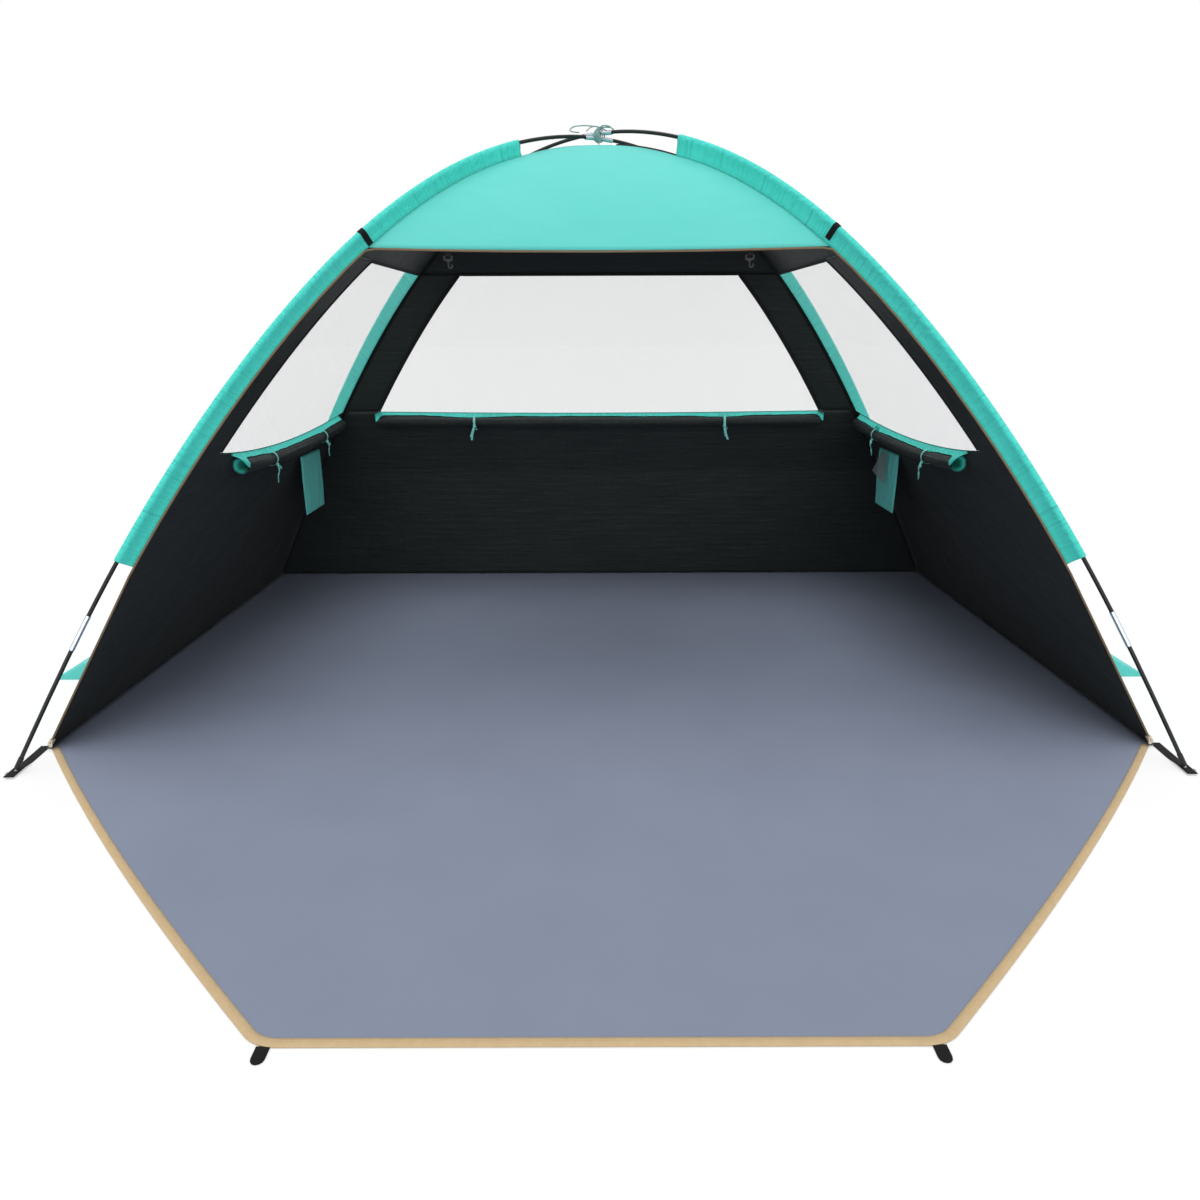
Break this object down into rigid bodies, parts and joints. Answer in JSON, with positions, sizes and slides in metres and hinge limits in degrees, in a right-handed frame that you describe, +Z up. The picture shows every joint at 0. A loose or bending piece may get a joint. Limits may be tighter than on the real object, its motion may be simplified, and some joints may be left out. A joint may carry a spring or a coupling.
{
  "type": "beach tent",
  "caption": "Beach shelter on crossed bent poles in sleeves, with mesh windows and their rolled covers, pockets, a grey floor and a porch that folds up",
  "frame": {"origin": "on the ground under the crossing of the poles, in the middle between the four feet", "axes": "+X to the right as one looks in through the doorway, +Y to the back, +Z up; the doorway and porch face -Y"},
  "size_m": [2.822, 2.3271, 1.3374],
  "materials": {
    "mint": "matte woven polyester",
    "sleeve_mint": "matte woven polyester, two layers",
    "black_cloth": "matte black coated side of the polyester",
    "mesh": "fine pale insect mesh",
    "floor_grey": "smooth grey woven polyethylene",
    "tan_tape": "matte tan binding tape",
    "webbing": "flat black polypropylene webbing",
    "rod": "satin black fibreglass",
    "steel": "satin plated steel",
    "elastic": "braided elastic cord",
    "cream": "satin cream plastic",
    "cord": "thin braided grey-green cord",
    "hook_black": "satin black plastic"
  },
  "bodies": {
    "tent": {"back_panel": "black_cloth", "crown_patch": "mint", "crown_tie": "cord", "doorway_tape": "tan_tape", "floor": "floor_grey", "foot_pin_back_left": "steel", "foot_pin_back_right": "steel", "foot_pin_front_left": "steel", "foot_pin_front_right": "steel", "foot_strap_back_left": "webbing", "foot_strap_back_right": "webbing", "foot_strap_front_left": "webbing", "foot_strap_front_right": "webbing", "front_canopy": "mint", "hem_strap_left": "webbing", "hem_strap_right": "webbing", "inner_pocket_left": "sleeve_mint", "inner_pocket_right": "sleeve_mint", "left_pole_back_end": "rod", "left_pole_back_ferrule": "steel", "left_pole_crown_ferrule": "steel", "left_pole_front_end": "rod", "left_pole_front_ferrule": "steel", "left_pole_run": "rod", "left_pole_shock_cord": "elastic", "right_pole_back_end": "rod", "right_pole_back_ferrule": "steel", "right_pole_crown_ferrule": "steel", "right_pole_front_end": "rod", "right_pole_front_ferrule": "steel", "right_pole_run": "rod", "right_pole_shock_cord": "elastic", "rolled_cover_back": "black_cloth", "rolled_cover_left": "black_cloth", "rolled_cover_right": "black_cloth", "roof_back": "mint", "roof_left": "mint", "roof_right": "mint", "sand_pocket_left": "mint", "sand_pocket_right": "mint", "side_panel_left": "black_cloth", "side_panel_right": "black_cloth", "sleeve_back_left": "sleeve_mint", "sleeve_back_right": "sleeve_mint", "sleeve_front_left": "sleeve_mint", "sleeve_front_right": "sleeve_mint", "window_back": "mesh", "window_left": "mesh", "window_right": "mesh"},
    "porch": {"porch": "floor_grey", "porch_binding": "tan_tape", "porch_tab_left": "webbing", "porch_tab_right": "webbing"},
    "zip_slider_left": {"zip_slider_left": "cream"},
    "zip_pull_left": {"zip_pull_left": "cream"},
    "canopy_hook_left": {"canopy_hook_left": "hook_black"},
    "zip_slider_right": {"zip_slider_right": "cream"},
    "zip_pull_right": {"zip_pull_right": "cream"},
    "canopy_hook_right": {"canopy_hook_right": "hook_black"}
  },
  "joints": [
    {"name": "porch_fold", "type": "hinge", "parent": "tent", "child": "porch", "pos_m": [0, -0.675, 0.0019], "axis": [-1, 0, 0], "range_deg": [0, 105]},
    {"name": "zip_slide_left", "type": "slide", "parent": "tent", "child": "zip_slider_left", "axis": [0.4956, 0.0996, 0.8628], "range_m": [0, 0.4]},
    {"name": "zip_pull_left_swing", "type": "hinge", "parent": "zip_slider_left", "child": "zip_pull_left", "pos_m": [-1.18325, -0.68041, 0.02052], "axis": [-1, 0.0075, 0], "range_deg": [0, 150]},
    {"name": "canopy_hook_left_swing", "type": "hinge", "parent": "tent", "child": "canopy_hook_left", "pos_m": [-0.331, -0.32804, 1.01651], "axis": [1, 0, 0], "range_deg": [-70, 70]},
    {"name": "zip_slide_right", "type": "slide", "parent": "tent", "child": "zip_slider_right", "axis": [-0.4956, 0.0996, 0.8628], "range_m": [0, 0.4]},
    {"name": "zip_pull_right_swing", "type": "hinge", "parent": "zip_slider_right", "child": "zip_pull_right", "pos_m": [1.18325, -0.68041, 0.02052], "axis": [-1, -0.0075, 0], "range_deg": [0, 150]},
    {"name": "canopy_hook_right_swing", "type": "hinge", "parent": "tent", "child": "canopy_hook_right", "pos_m": [0.331, -0.32804, 1.01651], "axis": [1, 0, 0], "range_deg": [-70, 70]}
  ]
}
